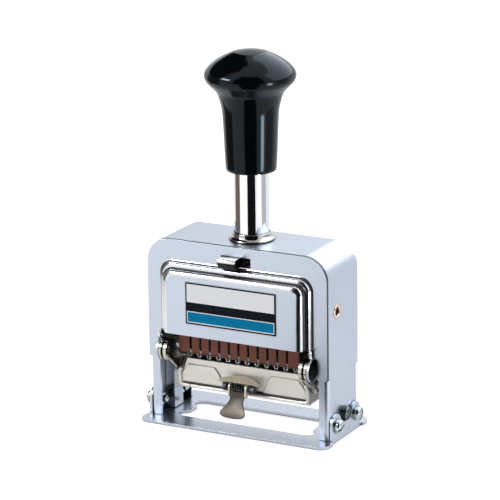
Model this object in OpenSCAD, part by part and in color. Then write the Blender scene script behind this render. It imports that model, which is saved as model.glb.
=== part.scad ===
// Hand numbering machine: a spring plunger presses a stack of number wheels
// through the window of its base, while the ink pad swings out of the way.
// Origin: middle of the base plate's underside. Front -Y, right +X, up +Z.

/* [Case] */
// Width over the two legs
case_w = 80; // [78:0.5:86]
// Depth of the bent frame strip
case_d = 26.2; // [25.6:0.2:30]
// Height from the table to the top of the frame
case_h = 76.4; // [75.6:0.2:80]
// Sheet thickness of the frame strip
sheet_t = 1.2; // [1:0.1:1.5]
// Outer radius of the frame's two top corners
case_r = 10; // [7:0.5:12]
// Width of the flange folded in along each leg
flange_w = 4.4; // [3.6:0.2:5]
// Outer fold radius of the leg edges
fold_r = 2; // [1:0.25:2.5]
// Height at which the two covers end above the table
cover_z0 = 26.4; // [25.5:0.1:27]

/* [Front cover] */
// Sheet thickness of the front cover
cover_t = 1.2; // [1:0.1:1.5]
// Margin from the frame's side to the raised panel's first step
panel_side_gap = 5.8; // [5:0.1:6.6]
// Margin from the frame top to the raised panel
panel_top_gap = 8.2; // [8:0.1:9]
// Height of the raised panel's lower edge
panel_z0 = 38.6; // [38:0.1:40]
// Rise of the panel's first step
step_1 = 2; // [1.5:0.1:2.4]
// Rise of the panel's second step
step_2 = 2.8; // [2.2:0.1:3.2]
// Width of the ledge between the two steps
ledge_w = 1.8; // [1.4:0.1:2.2]
// Corner radius of the panel's first step
panel_r = 5; // [4:0.25:6]
// Width of the bare name plate
plate_w = 40; // [36:0.5:44]
// Height of the bare name plate
plate_h = 17; // [15:0.25:19]
// Height of the name plate's middle
plate_z = 52.4; // [51:0.1:54]

/* [Rear cover] */
// Sheet thickness of the rear cover
rear_t = 1.2; // [0.8:0.1:1.4]

/* [Base] */
// Distance that the base plate reaches beyond each leg
base_over = 2; // [1.5:0.1:5]
// Depth of the base plate
base_d = 41.4; // [38:0.2:46]
// Thickness of the base plate
base_t = 1.2; // [1:0.1:1.4]
// Corner radius of the base plate
base_r = 4; // [3:0.25:5]
// Gap in the print window at each end of the pad holder
window_gap = 1.4; // [0.8:0.1:2]
// Depth of the print window
window_d = 20; // [19:0.2:21]
// Thickness of the lugs bent up beside the legs
lug_t = 1.2; // [1:0.1:1.4]
// Half width and top radius of a lug
lug_r = 3.85; // [3.4:0.05:4]
// Distance of the base screws from the frame's front and rear edges
lug_in = 4.45; // [4.3:0.05:4.9]
// Height of the base screws
lug_z = 6.7; // [6:0.1:7.5]
// Height of the low flange between two lugs
low_flange_z = 6.4; // [4:0.1:6.4]
// Shank diameter of the base and guide rail screws
screw_d = 3; // [2.6:0.1:3.2]
// Head diameter of the base and guide rail screws
head_d = 5.6; // [5:0.1:5.6]
// Head height of the base screws
head_h = 1.9; // [1.5:0.1:2.4]
// Thickness of the base washers
washer_t = 0.9; // [0.6:0.1:1.2]

/* [Plunger] */
// Outer diameter of the plunger tube
tube_d = 14; // [13:0.2:15]
// Wall of the plunger tube
tube_wall = 1.4; // [1.2:0.1:1.8]
// Travel of the plunger
stroke = 21.5; // [18:0.25:21.5]
// Free length of tube between the bush and the knob
tube_free = 25; // [24:0.5:30]
// Height of the bush collar above the frame
bush_h = 3.2; // [2.4:0.1:4]
// Diameter of the bush collar
bush_d = 18.2; // [17.6:0.2:21]
// Height of the knob
knob_h = 48.4; // [46:0.4:56]
// Largest diameter of the knob
knob_d = 36.2; // [34:0.2:42]

/* [Wheels] */
// Width that a ratchet and its gaps take beside each number wheel
ratchet_room = 1.12; // [0.9:0.02:1.5]
// Diameter over the corners of a number wheel
wheel_d = 19.8; // [18.6:0.1:19.8]
// Diameter of the wheel shaft
shaft_d = 5; // [4:0.1:5.4]
// Height of the wheel shaft when the machine stands
shaft_z = 31.6; // [31.6:0.1:32.2]

/* [Ink pad] */
// Distance of the pad arm pivots in front of the frame's edge
pivot_out = 1.7; // [1.7:0.1:2.3]
// Height of the pad arm pivots
pivot_z = 30.3; // [30:0.1:30.6]
// Room for a pad arm and its knuckle at each end of the pad holder
arm_room = 4.8; // [4.8:0.1:5.2]
// Depth of the felt ink pad
felt_d = 14.4; // [12:0.2:14.4]
// Thickness of the felt ink pad
felt_t = 6; // [4:0.1:6]

/* [Hidden] */
$fn = 64;
wheels = 12;
teeth = 10;
run = 0.05;                       // radial running clearance of a shaft in its bore
fit = 0.1;                        // gap between pieces that are set into each other
side_gap = 0.3;                   // gap beside a moving piece
// case
half_w = case_w / 2;
web_x = half_w - sheet_t;         // inner face of a leg
face_y = case_d / 2;              // front edge of the frame strip
cover_y = -face_y - cover_t;      // front face of the cover's border
panel_w = case_w - 2 * panel_side_gap;
panel_y = cover_y - step_1 - step_2;
panel_z1 = case_h - panel_top_gap;
opening_x = panel_w / 2;          // edge of the opening under the panel
flange_z1 = panel_z1 - 4;         // top of the leg flanges
// pad holder and arms, along the wheel shaft
holder_w = panel_w - 2 * arm_room;
holder_x = holder_w / 2;
arm_x = holder_x + 0.2;
arm_t = 1;
ear_t = 1;
ear_x0 = opening_x - ear_t;
knuckle_x = ear_x0 - side_gap;
// wheels
end_room = 3.48;                  // from the wheel stack to the holder's end
stack_x = holder_x - end_room;
pitch = 2 * stack_x / wheels;
wheel_w = pitch - ratchet_room;
ratchet_w = ratchet_room - 0.2;
ratchet_r = wheel_d / 2 - 1.7;
shaft_r = shaft_d / 2;
// feed rocker
pawl_radius = wheel_d / 2 + 2.1;
pawl_pin_r = 1.2;
pawl_lean = -10;
rocker_r = 1.9;
// carriage
yoke_t = 2;
yoke_z = shaft_z + pawl_radius + rocker_r + 0.9;
yoke_d = 19;
hub_x = stack_x + 0.15;           // rocker hubs stand beside the wheel stack
hub_t = 1.6;
plate_x = hub_x + hub_t + 0.15;   // inner face of a carriage side plate
side_t = 1.2;
side_x = plate_x + side_t;
side_r = 7.3;                     // lower end of a side plate, round the shaft
side_w = 18;                      // width of a side plate under the yoke
side_head = 9;                    // height of that wide part
tie_r = 1.2;
tie_y = 8;
tie_z = yoke_z - tie_r - 0.2;
clip_t = 0.3;
shoe_x0 = holder_x + 1.6;
shoe_x1 = web_x - 0.5;
shoe_z0 = shaft_z - 1.6;
shoe_ear = 4;
// comb of detent springs in front of the wheels
comb_t = 0.35;
comb_y = 0.5 - face_y;
comb_end = 1.5;                   // extra width of the two end fingers
finger_w = 3.3;
finger_r = 2;
finger_z = shaft_z - 2.9;
// guide rails and the fixed bar under the return spring
rail_t = 4.2;
rail_w = 7;
rail_x = web_x - rail_t;
rail_z0 = base_t + 0.3;
rail_z1 = case_h - case_r;
rail_screw_z = 9.4;
side_screw_y = -rail_w / 2 - screw_d / 2 - 0.55;
side_screw_z = 52.9;
shoe_w = rail_w + 3.6;
foot_h = 1.6;                     // foot of the plunger tube on the yoke
bar_w = 3;
bar_h = 5;
bar_z = yoke_z + yoke_t + foot_h + 1;
// plunger
tube_r = tube_d / 2;
foot_r = tube_r + 0.8;
bush_z = case_h + bush_h;
bush_tail = 5.8;
bush_body_r = tube_r + 1.5;
nut_h = 4;
knob_z = bush_z + tube_free;
knob_bore = 22;
plug_h = 10;
tube_top = knob_z + knob_bore;
plug_z = tube_top - plug_h;
stud_r = 3;
stud_h = 9;
spring_wire = 0.55;               // wire radius of the return spring
spring_gap = 0.65;                // between the return spring and the tube
// lugs and base screws
base_w = case_w + 2 * base_over;
window_w = holder_w + 2 * window_gap;
lug_x = half_w + run;
lug_x1 = lug_x + lug_t;
lug_y = face_y - lug_in;
head_x = lug_x1 + washer_t;
nut_t = 2;
// pad holder, from the front
wall = 0.8;
felt_gap = 0.4;                   // between the felt and the number wheels' corners
holder_z = shaft_z - wheel_d / 2 - felt_gap - felt_t - 2 * wall - fit;
holder_y0 = -7.9;
holder_y1 = holder_y0 + felt_d + 4 * wall + 2 * fit;
lip_y = -9.6;                     // upper edge of the leaning front plate
front_rise = 12.4;                // height of the leaning front plate
lip_z = holder_z + front_rise;
lean = atan((holder_y0 - lip_y) / (lip_z - holder_z));
tray_z = holder_z + wall + fit;
tray_h = 4;
felt_z = tray_z + wall;
felt_w = holder_w - 4;
rail_roll = 0.9;
rim_h = 5;                        // height of the holder's low rear rim
boss_r = 2.8;                     // boss of a pivot stud
pivot_y = face_y + pivot_out;
stub_y = -3.5;
stub_rise = 7.4;
stub_z = holder_z + stub_rise;
arm_r = 3.4;
knuckle_r = 4.5;
pin_r = 2;
pivot_head = 1.2;                 // height of the domed pivot heads
// release clip
clip_y = -12.7;
clip_z = holder_z + 4;
clip_pin_r = 0.9;
clip_ear_x = 4.1;
ear_r = 2;
bracket_x = 5.1;
bracket_r = 1.7;
tab_y = -20;
tab_drop = 6.6;                   // of the finger tab below the holder
tab_z = holder_z - tab_drop;
// catch in the front cover
slot_w = 13.2;
slot_z0 = panel_z1 + 0.2;
slot_h = 4;
catch_w = 8;
catch_x = -5.8;

steel = "#c9cfda";
bright = "#dfe3ea";
nickel = "#d8cfbc";
zinc = "#b9c0c4";
bronze = "#6e4137";
iron = "#8b9097";

function two_digits(n) = n < 10 ? str("0", n) : str(n);
wheel_names = [for (i = [1:wheels]) str("number_wheel_", two_digits(i))];
ratchet_names = [for (i = [1:wheels]) str("ratchet_", two_digits(i))];

// ---- shared shapes ----

// Extrudes an outline drawn in X and Z from y0 to y1
module along_y(y0, y1) {
    translate([0, y1, 0]) rotate([90, 0, 0]) linear_extrude(y1 - y0) children();
}

// Extrudes an outline drawn in Y and Z from x0 to x1
module along_x(x0, x1) {
    translate([x0, 0, 0]) rotate([90, 0, 90]) linear_extrude(x1 - x0) children();
}

// A round bar along X
module bar_x(x0, x1, y, z, r) {
    along_x(x0, x1) translate([y, z]) circle(r);
}

// One copy on the right and its mirror image on the left
module both_sides() {
    children();
    mirror([1, 0, 0]) children();
}

module round_rect(w, h, r) {
    square([w - 2 * r, h], center = true);
    square([w, h - 2 * r], center = true);
    for (x = [-1, 1], y = [-1, 1])
        translate([x * (w / 2 - r), y * (h / 2 - r)]) circle(r);
}

// Outline with a flat foot and two round top corners
module arch(half, z0, z1, r) {
    translate([-half, z0]) square([2 * half, z1 - r - z0]);
    translate([r - half, z0]) square([2 * (half - r), z1 - z0]);
    for (s = [-1, 1]) translate([s * (half - r), z1 - r]) circle(r);
}

// A flat link between two round ends, drawn in Y and Z
module link(a, b, r) {
    d = b - a;
    translate(a) circle(r);
    translate(b) circle(r);
    translate(a) rotate(atan2(d[1], d[0])) translate([0, -r]) square([norm(d), 2 * r]);
}

// ---- case ----

module leg_section() {
    difference() {
        round_rect(case_w, case_d, fold_r);
        square([2 * web_x, case_d - 2 * sheet_t], center = true);
        square([case_w - 2 * flange_w, case_d + 1], center = true);
    }
}

module outer_frame() {
    color(steel) difference() {
        union() {
            along_y(-face_y, face_y) difference() {
                arch(half_w, cover_z0, case_h, case_r);
                arch(web_x, cover_z0 - 1, case_h - sheet_t, case_r - sheet_t);
            }
            translate([0, 0, base_t]) linear_extrude(cover_z0 - base_t) leg_section();
            translate([0, 0, cover_z0]) linear_extrude(flange_z1 - cover_z0) difference() {
                square([2 * web_x, case_d], center = true);
                square([case_w, case_d - 2 * sheet_t], center = true);
                square([case_w - 2 * flange_w, case_d + 1], center = true);
            }
        }
        translate([0, 0, case_h - 2 * sheet_t])
            cylinder(r = bush_body_r + run, h = 3 * sheet_t);
        for (y = [-lug_y, lug_y])
            bar_x(-half_w - 1, half_w + 1, y, lug_z, screw_d / 2 + run);
        bar_x(-half_w - 1, half_w + 1, 0, rail_screw_z, screw_d / 2 + run);
        bar_x(-half_w - 1, half_w + 1, side_screw_y, side_screw_z, screw_d / 2 + run);
    }
}

// A raised panel with a rounded rim
module raised(half, z1, r, y0, rise) {
    edge = 1.6;
    hull() for (cut = [[0, edge], [edge / 3, edge / 4], [edge, 0]])
        along_y(y0 - rise + cut[1], y0)
            arch(half - cut[0], panel_z0, z1 - cut[0], r - cut[0]);
}

module front_cover() {
    color(steel) difference() {
        union() {
            along_y(cover_y, -face_y) arch(half_w, cover_z0, case_h, case_r);
            raised(panel_w / 2, panel_z1, panel_r, cover_y, step_1);
            raised(panel_w / 2 - ledge_w, panel_z1 - ledge_w, panel_r - 1,
                cover_y - step_1, step_2);
        }
        along_y(panel_y - 1, -face_y + 1)
            translate([-opening_x, cover_z0 - 1])
                square([2 * opening_x, panel_z0 - cover_z0 + 1]);
        along_y(cover_y - step_1 + cover_t, -face_y + 1)
            arch(panel_w / 2 - cover_t, panel_z0 - 1, panel_z1 - cover_t, panel_r - cover_t);
        along_y(panel_y + cover_t, -face_y + 1)
            arch(panel_w / 2 - ledge_w - cover_t, panel_z0 - 1,
                panel_z1 - ledge_w - cover_t, panel_r - 1 - cover_t);
        along_y(cover_y - 3, -face_y + 1) translate([-slot_w / 2, slot_z0])
            square([slot_w, slot_h]);
        both_sides() bar_x(opening_x, opening_x + pivot_head + fit,
            -pivot_y, pivot_z, knuckle_r + fit);
    }
    // ears bent forward beside the opening carry the pad arm pivots
    color(steel) both_sides() difference() {
        along_x(ear_x0, opening_x) {
            translate([-pivot_y, pivot_z]) circle(knuckle_r);
            translate([cover_y, pivot_z - knuckle_r])
                square([cover_t, panel_z0 + 1 - pivot_z + knuckle_r]);
        }
        bar_x(0, half_w, -pivot_y, pivot_z, pin_r + run);
    }
}

module name_plate() {
    color("#0a7aa8") along_y(panel_y - 0.3, panel_y)
        translate([0, plate_z]) square([plate_w, plate_h], center = true);
}

module rear_cover() {
    color(steel) along_y(face_y - sheet_t - rear_t - fit, face_y - sheet_t - fit)
        arch(web_x - fit, cover_z0, case_h - sheet_t - fit, case_r - sheet_t);
}

module base_plate() {
    tab_root = 11;
    tab_tip = 5.8;
    tab_l = 3;
    color(steel) difference() {
        union() {
            linear_extrude(base_t) difference() {
                round_rect(base_w, base_d, base_r);
                for (s = [-1, 1]) translate([s * (lug_x1 + base_w / 2), 0])
                    square([base_w, case_d + 1], center = true);
                difference() {
                    round_rect(window_w, window_d, base_r);
                    for (s = [-1, 1]) scale_x(s) polygon([
                        [window_w / 2 + 1, -tab_root / 2], [window_w / 2, -tab_root / 2],
                        [window_w / 2 - tab_l, -tab_tip / 2], [window_w / 2 - tab_l, tab_tip / 2],
                        [window_w / 2, tab_root / 2], [window_w / 2 + 1, tab_root / 2]]);
                }
            }
            both_sides() along_x(lug_x, lug_x1) {
                translate([-lug_y - lug_r, 0])
                    square([2 * (lug_y + lug_r), low_flange_z]);
                for (y = [-lug_y, lug_y]) {
                    translate([y, lug_z + 1]) circle(lug_r);
                    translate([y - lug_r, 0]) square([2 * lug_r, lug_z + 1]);
                }
            }
        }
        for (y = [-lug_y, lug_y])
            bar_x(-base_w, base_w, y, lug_z, screw_d / 2 + run);
    }
}

module scale_x(s) {
    if (s > 0) children();
    else mirror([1, 0, 0]) children();
}

module pan_head(x, y, z, h) {
    difference() {
        bar_x(x, x + h, y, z, head_d / 2);
        translate([x + h - 0.35, y, z]) cube([1.4, head_d + 1, 0.9], center = true);
    }
}

module base_screws() {
    color(zinc) both_sides() for (y = [-lug_y, lug_y]) {
        pan_head(head_x, y, lug_z, head_h);
        bar_x(web_x - nut_t - 0.4, head_x, y, lug_z, screw_d / 2);
        difference() {
            translate([web_x - nut_t, y, lug_z]) rotate([0, 90, 0])
                cylinder(r = head_d / 2, h = nut_t, $fn = 6);
            bar_x(0, half_w, y, lug_z, screw_d / 2);
        }
    }
}

module base_washers() {
    color(zinc) both_sides() for (y = [-lug_y, lug_y])
        difference() {
            bar_x(lug_x1, head_x, y, lug_z, head_d / 2 - 0.1);
            bar_x(0, base_w, y, lug_z, screw_d / 2 + run);
        }
}

module guide_rails() {
    color(bright) both_sides() difference() {
        translate([rail_x, -rail_w / 2, rail_z0])
            cube([rail_t, rail_w, rail_z1 - rail_z0]);
        bar_x(web_x - 3.2, half_w, 0, rail_screw_z, screw_d / 2 + run);
    }
}

module rail_screws() {
    h = 3;
    color("#2a2c30") both_sides() {
        pan_head(half_w, 0, rail_screw_z, h);
        bar_x(web_x - 3, half_w, 0, rail_screw_z, screw_d / 2);
    }
}

module side_screws() {
    rim = 0.35;
    rim_r = 2.85;
    tip = 2;
    socket_r = 1.1;
    socket = 1;
    color("#c9a08e") both_sides() difference() {
        union() {
            bar_x(half_w, half_w + rim, side_screw_y, side_screw_z, rim_r);
            bar_x(web_x - tip, half_w, side_screw_y, side_screw_z, screw_d / 2);
        }
        bar_x(half_w - socket, half_w + socket, side_screw_y, side_screw_z, socket_r);
    }
}

module spring_bar() {
    color(iron) translate([-rail_x, -bar_w / 2, bar_z]) cube([2 * rail_x, bar_w, bar_h]);
}

module pad_pivots() {
    dome_r = (knuckle_r * knuckle_r + pivot_head * pivot_head) / (2 * pivot_head);
    color(bright) both_sides() {
        bar_x(arm_x + arm_t + fit, opening_x, -pivot_y, pivot_z, pin_r);
        translate([opening_x, -pivot_y, pivot_z]) rotate([0, 90, 0])
            rotate_extrude() intersection() {
                translate([0, pivot_head - dome_r]) circle(dome_r);
                square([knuckle_r, pivot_head]);
            }
    }
}

// ---- plunger ----

module plunger_bush() {
    r = bush_d / 2;
    color(bright) translate([0, 0, case_h]) rotate_extrude() polygon([
        [tube_r + run, -bush_tail], [bush_body_r, -bush_tail], [bush_body_r, 0],
        [r - 0.6, 0], [r, 0.8], [r, bush_h * 0.6], [r - 0.5, bush_h * 0.85],
        [r - 1.1, bush_h], [tube_r + run, bush_h]]);
}

module bush_nut() {
    color(iron) translate([0, 0, case_h - sheet_t - nut_h]) difference() {
        cylinder(r = bush_body_r + 2.8, h = nut_h, $fn = 6);
        translate([0, 0, -1]) cylinder(r = bush_body_r + run, h = nut_h + 2);
    }
}

module plunger_tube() {
    slot_top = bar_z + bar_h + stroke + 0.4;
    color(bright) difference() {
        union() {
            translate([0, 0, yoke_z + yoke_t]) cylinder(r = tube_r, h = tube_top - yoke_z - yoke_t);
            translate([0, 0, yoke_z + yoke_t]) cylinder(r = foot_r, h = foot_h);
        }
        translate([0, 0, yoke_z]) cylinder(r = tube_r - tube_wall, h = tube_top);
        translate([-tube_d, -bar_w / 2 - 0.2, bar_z - 0.5])
            cube([2 * tube_d, bar_w + 0.4, slot_top - bar_z + 0.5]);
    }
}

module tube_plug() {
    color(iron) {
        translate([0, 0, plug_z]) cylinder(r = tube_r - tube_wall, h = tube_top - plug_z);
        translate([0, 0, tube_top]) cylinder(r = stud_r, h = stud_h);
    }
}

// Radius of the knob at shares of its height, from the foot to the crown
knob_shares = [[0, 0.553], [0.12, 0.573], [0.25, 0.587], [0.4, 0.604], [0.5, 0.623],
    [0.58, 0.669], [0.65, 0.738], [0.7, 0.854], [0.74, 0.955], [0.78, 1], [0.82, 0.984],
    [0.86, 0.905], [0.9, 0.784], [0.94, 0.611], [0.97, 0.44], [0.985, 0.318], [1, 0]];

// Smooth curve through four neighbouring points
function spline(a, b, c, d, t) = 0.5 * (2 * b + (c - a) * t
    + (2 * a - 5 * b + 4 * c - d) * t * t + (3 * b - a - 3 * c + d) * t * t * t);
// The curve runs on past the crown to its mirror image, so that the crown is level
function knob_point(i) = let (n = len(knob_shares))
    i < n ? knob_shares[max(0, i)] : [knob_shares[2 * n - 2 - i][0], -knob_shares[2 * n - 2 - i][1]];

module knob() {
    n = 3;
    curve = [for (i = [0:len(knob_shares) - 2], k = [0:n - 1])
        spline(knob_point(i - 1), knob_point(i), knob_point(i + 1), knob_point(i + 2), k / n)];
    color("#0b0b0c") translate([0, 0, knob_z]) difference() {
        rotate_extrude() polygon(concat([[0, 0]],
            [for (p = curve) [p[1] * knob_d / 2, max(0, min(1, p[0])) * knob_h]],
            [[0, knob_h]]));
        translate([0, 0, -1]) cylinder(r = tube_r, h = tube_top - knob_z + 1);
        translate([0, 0, 1]) cylinder(r = stud_r, h = tube_top - knob_z + stud_h - 1);
    }
}

// Round wire swept along a helix
module coil(r, wire, length, turns, steps, sides) {
    n = turns * steps;
    rise = (length - 2 * wire) / n;
    ring = [for (i = [0:n], k = [0:sides - 1])
        let (a = 360 * i / steps, b = 360 * k / sides, q = r + wire * cos(b))
        [q * cos(a), q * sin(a), wire + rise * i + wire * sin(b)]];
    polyhedron(ring, concat(
        [[for (k = [0:sides - 1]) k]],
        [for (i = [0:n - 1], k = [0:sides - 1])
            let (m = (k + 1) % sides)
            [i * sides + k, (i + 1) * sides + k, (i + 1) * sides + m, i * sides + m]],
        [[for (k = [sides - 1:-1:0]) n * sides + k]]));
}

module return_spring() {
    color(iron) translate([0, 0, bar_z + bar_h])
        coil(tube_r - tube_wall - spring_wire - spring_gap, spring_wire,
            plug_z - bar_z - bar_h, 14, 14, 6);
}

// ---- carriage ----

module carriage_yoke() {
    color(iron) translate([0, 0, yoke_z]) linear_extrude(yoke_t) difference() {
        round_rect(2 * side_x, yoke_d, 2);
        circle(r = tube_r - tube_wall);
    }
}

module carriage_sides() {
    color(iron) both_sides() difference() {
        along_x(plate_x, side_x) {
            translate([0, shaft_z]) circle(side_r);
            translate([-side_r, shaft_z]) square([2 * side_r, yoke_z - shaft_z]);
            translate([-side_w / 2, yoke_z - side_head]) square([side_w, side_head]);
        }
        bar_x(0, half_w, 0, shaft_z, shaft_r + run);
        for (y = [-tie_y, tie_y]) bar_x(0, half_w, y, tie_z, tie_r);
    }
}

module guide_shoes() {
    color("#b08d57") both_sides() {
        difference() {
            translate([shoe_x0, -shoe_w / 2, shoe_z0])
                cube([shoe_x1 - shoe_x0, shoe_w, yoke_z - shoe_z0]);
            translate([rail_x - fit, -rail_w / 2 - fit, shoe_z0 - 1])
                cube([rail_t + 2, rail_w + 2 * fit, yoke_z]);
        }
        translate([side_x, -shoe_w / 2, yoke_z - shoe_ear])
            cube([shoe_x0 - side_x, shoe_w, shoe_ear]);
    }
}

module wheel_shaft() {
    color(bright) bar_x(-side_x - clip_t, side_x + clip_t, 0, shaft_z, shaft_r);
}

module shaft_clips() {
    color(iron) both_sides() difference() {
        bar_x(side_x, side_x + clip_t, 0, shaft_z, shaft_r + 1.5);
        bar_x(0, half_w, 0, shaft_z, shaft_r);
    }
}

module tie_rods() {
    color(iron) for (y = [-tie_y, tie_y]) bar_x(-side_x, side_x, y, tie_z, tie_r);
}

// Outline of one spring finger and the plate that carries it, in Y and Z
module finger_section() {
    y0 = comb_y - comb_t;
    translate([y0, finger_z + finger_r]) square([comb_t, yoke_z + yoke_t + comb_t - finger_z - finger_r]);
    intersection() {
        translate([y0 + finger_r, finger_z + finger_r]) difference() {
            circle(finger_r);
            circle(finger_r - comb_t);
        }
        translate([y0, finger_z]) square(finger_r);
    }
}

module detent_springs() {
    seat = comb_t - comb_y - foot_r - side_gap;
    comb_z = yoke_z - 2;
    color(bronze) {
        for (i = [0:wheels - 1]) {
            mid = (i + 0.5) * pitch - stack_x;
            left = mid - finger_w / 2 - (i == 0 ? comb_end : 0);
            right = mid + finger_w / 2 + (i == wheels - 1 ? comb_end : 0);
            along_x(left, right) finger_section();
        }
        translate([-stack_x, comb_y - comb_t, comb_z])
            cube([2 * stack_x, comb_t, yoke_z + yoke_t + comb_t - comb_z]);
        translate([-stack_x, comb_y - comb_t, yoke_z + yoke_t])
            cube([2 * stack_x, seat, comb_t]);
    }
}

// ---- number wheels ----

// Left face of cell i
function cell_x(i) = i * pitch - stack_x;

module number_wheel(i) {
    color("#74757a") translate([cell_x(i) + 0.06, 0, shaft_z]) rotate([0, 90, 0]) difference() {
        rotate([0, 0, 18]) cylinder(r = wheel_d / 2, h = wheel_w, $fn = teeth);
        translate([0, 0, -1]) cylinder(r = shaft_r + run, h = wheel_w + 2);
    }
}

module ratchet(i) {
    root = ratchet_r - 1.4;
    color("#a8a9ab") translate([cell_x(i) + 0.06 + wheel_w, 0, shaft_z]) rotate([0, 90, 0])
        linear_extrude(ratchet_w) difference() {
            polygon([for (k = [0:teeth - 1], e = [0:1])
                let (a = 360 * (k + (e == 0 ? 0 : 0.12)) / teeth, r = e == 0 ? ratchet_r : root)
                [r * cos(a), r * sin(a)]]);
            circle(shaft_r + run);
        }
}

// ---- feed rocker ----

// Places its children at the pawl pin, seen in Y and Z from the shaft
module at_pawls() {
    translate([0, shaft_z]) rotate(-pawl_lean) translate([0, pawl_radius]) children();
}

module pawl_carrier() {
    color("#b9a46a") both_sides() difference() {
        along_x(hub_x, hub_x + hub_t) {
            translate([0, shaft_z]) circle(shaft_r + 1.5);
            at_pawls() circle(rocker_r);
            translate([0, shaft_z]) rotate(-pawl_lean)
                translate([-rocker_r, 0]) square([2 * rocker_r, pawl_radius]);
        }
        bar_x(0, half_w, 0, shaft_z, shaft_r + run);
        along_x(0, half_w) at_pawls() circle(pawl_pin_r);
    }
}

module pawl_pin() {
    color(bright) along_x(-hub_x - hub_t, hub_x + hub_t) at_pawls() circle(pawl_pin_r);
}

module feed_pawls() {
    reach = pawl_radius - ratchet_r - 0.5;
    w = ratchet_w - 0.2;
    color(iron) for (i = [0:wheels - 1]) {
        x = cell_x(i) + 0.06 + wheel_w + (ratchet_w - w) / 2;
        along_x(x, x + w) at_pawls() difference() {
            union() {
                circle(pawl_pin_r + 0.7);
                polygon([[-1.6, -0.6], [1.6, -0.6], [0.7, -reach], [-0.2, -reach]]);
            }
            circle(pawl_pin_r + run);
        }
    }
}

// ---- ink pad ----

module pad_arms() {
    color(nickel) both_sides() difference() {
        union() {
            along_x(arm_x, arm_x + arm_t) link([-pivot_y, pivot_z], [stub_y, stub_z], arm_r);
            bar_x(arm_x, knuckle_x, -pivot_y, pivot_z, knuckle_r);
        }
        bar_x(arm_x + arm_t + 0.1, half_w, -pivot_y, pivot_z, pin_r + run);
        bar_x(0, half_w, stub_y, stub_z, pin_r + run);
    }
}

// Lays an outline drawn in X and height onto the leaning front plate
module on_front_plate(t) {
    translate([0, holder_y0, holder_z]) rotate([lean, 0, 0]) along_y(-t, 0) children();
}

module pad_frame() {
    x = holder_x;
    front_h = (lip_z - holder_z) / cos(lean);
    corner = 4.4;
    top_x = x - corner;
    stub_l = 1.9;
    roll_y = holder_y0 - fit;
    plate_end = x - wall / 2;
    wing_x = 8.6;
    wing_z = 2;
    wing_h = 7.8;
    color(nickel) {
        // leaning front plate with two raised wings
        translate([0, wall, 0]) on_front_plate(wall)
            polygon([[-plate_end, wall / 4], [plate_end, wall / 4], [plate_end, 3],
                [top_x, front_h], [-top_x, front_h], [-plate_end, 3]]);
        both_sides() on_front_plate(0.5)
            polygon([[wing_x, wing_z], [x - 1, wing_z], [x - 1, wing_z + 2.6],
                [x - 4.6, wing_z + wing_h], [wing_x + 4.4, wing_z + wing_h],
                [wing_x + 3.2, wing_z + wing_h - 1.2]]);
        // floor, rear wall and the two ends with their pivot studs
        translate([-x, holder_y0, holder_z]) cube([2 * x, holder_y1 - holder_y0, wall]);
        translate([-x, holder_y1 - wall, holder_z]) cube([2 * x, wall, rim_h]);
        both_sides() {
            along_x(x - wall, x) {
                translate([roll_y, holder_z]) square([holder_y1 - roll_y, rim_h]);
                translate([stub_y, stub_z]) circle(boss_r);
                translate([stub_y - boss_r, holder_z]) square([2 * boss_r, stub_z - holder_z]);
            }
            bar_x(x - wall, arm_x + arm_t + stub_l, stub_y, stub_z, pin_r);
        }
        // rolled lower edge
        bar_x(fit - x, x - fit, roll_y, holder_z + wall / 2, rail_roll);
        // bracket of the release clip
        both_sides() difference() {
            along_x(bracket_x, bracket_x + wall)
                link([clip_y, clip_z], [holder_y0 - bracket_r, clip_z], bracket_r);
            bar_x(0, half_w, clip_y, clip_z, clip_pin_r);
        }
    }
}

module pad_tray() {
    w = felt_w + 2 * wall;
    d = felt_d + 2 * wall;
    color(zinc) translate([0, (holder_y0 + holder_y1) / 2, tray_z]) difference() {
        linear_extrude(tray_h) square([w, d], center = true);
        translate([0, 0, wall]) linear_extrude(tray_h)
            square([w - 2 * wall, d - 2 * wall], center = true);
    }
}

module ink_pad() {
    color("#2b2433") translate([0, (holder_y0 + holder_y1) / 2, felt_z])
        linear_extrude(felt_t) square([felt_w - 2 * fit, felt_d - 2 * fit], center = true);
}

// ---- release clip ----

// Lays an outline onto the plane through a and b, given in Y and Z; the outline's
// height runs from a to b, and the sheet is t thick towards the front
module on_slope(a, b, t) {
    d = b - a;
    translate([0, a[0], a[1]]) rotate([atan2(d[1], d[0]) - 90, 0, 0]) along_y(-t, 0) children();
}

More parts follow.
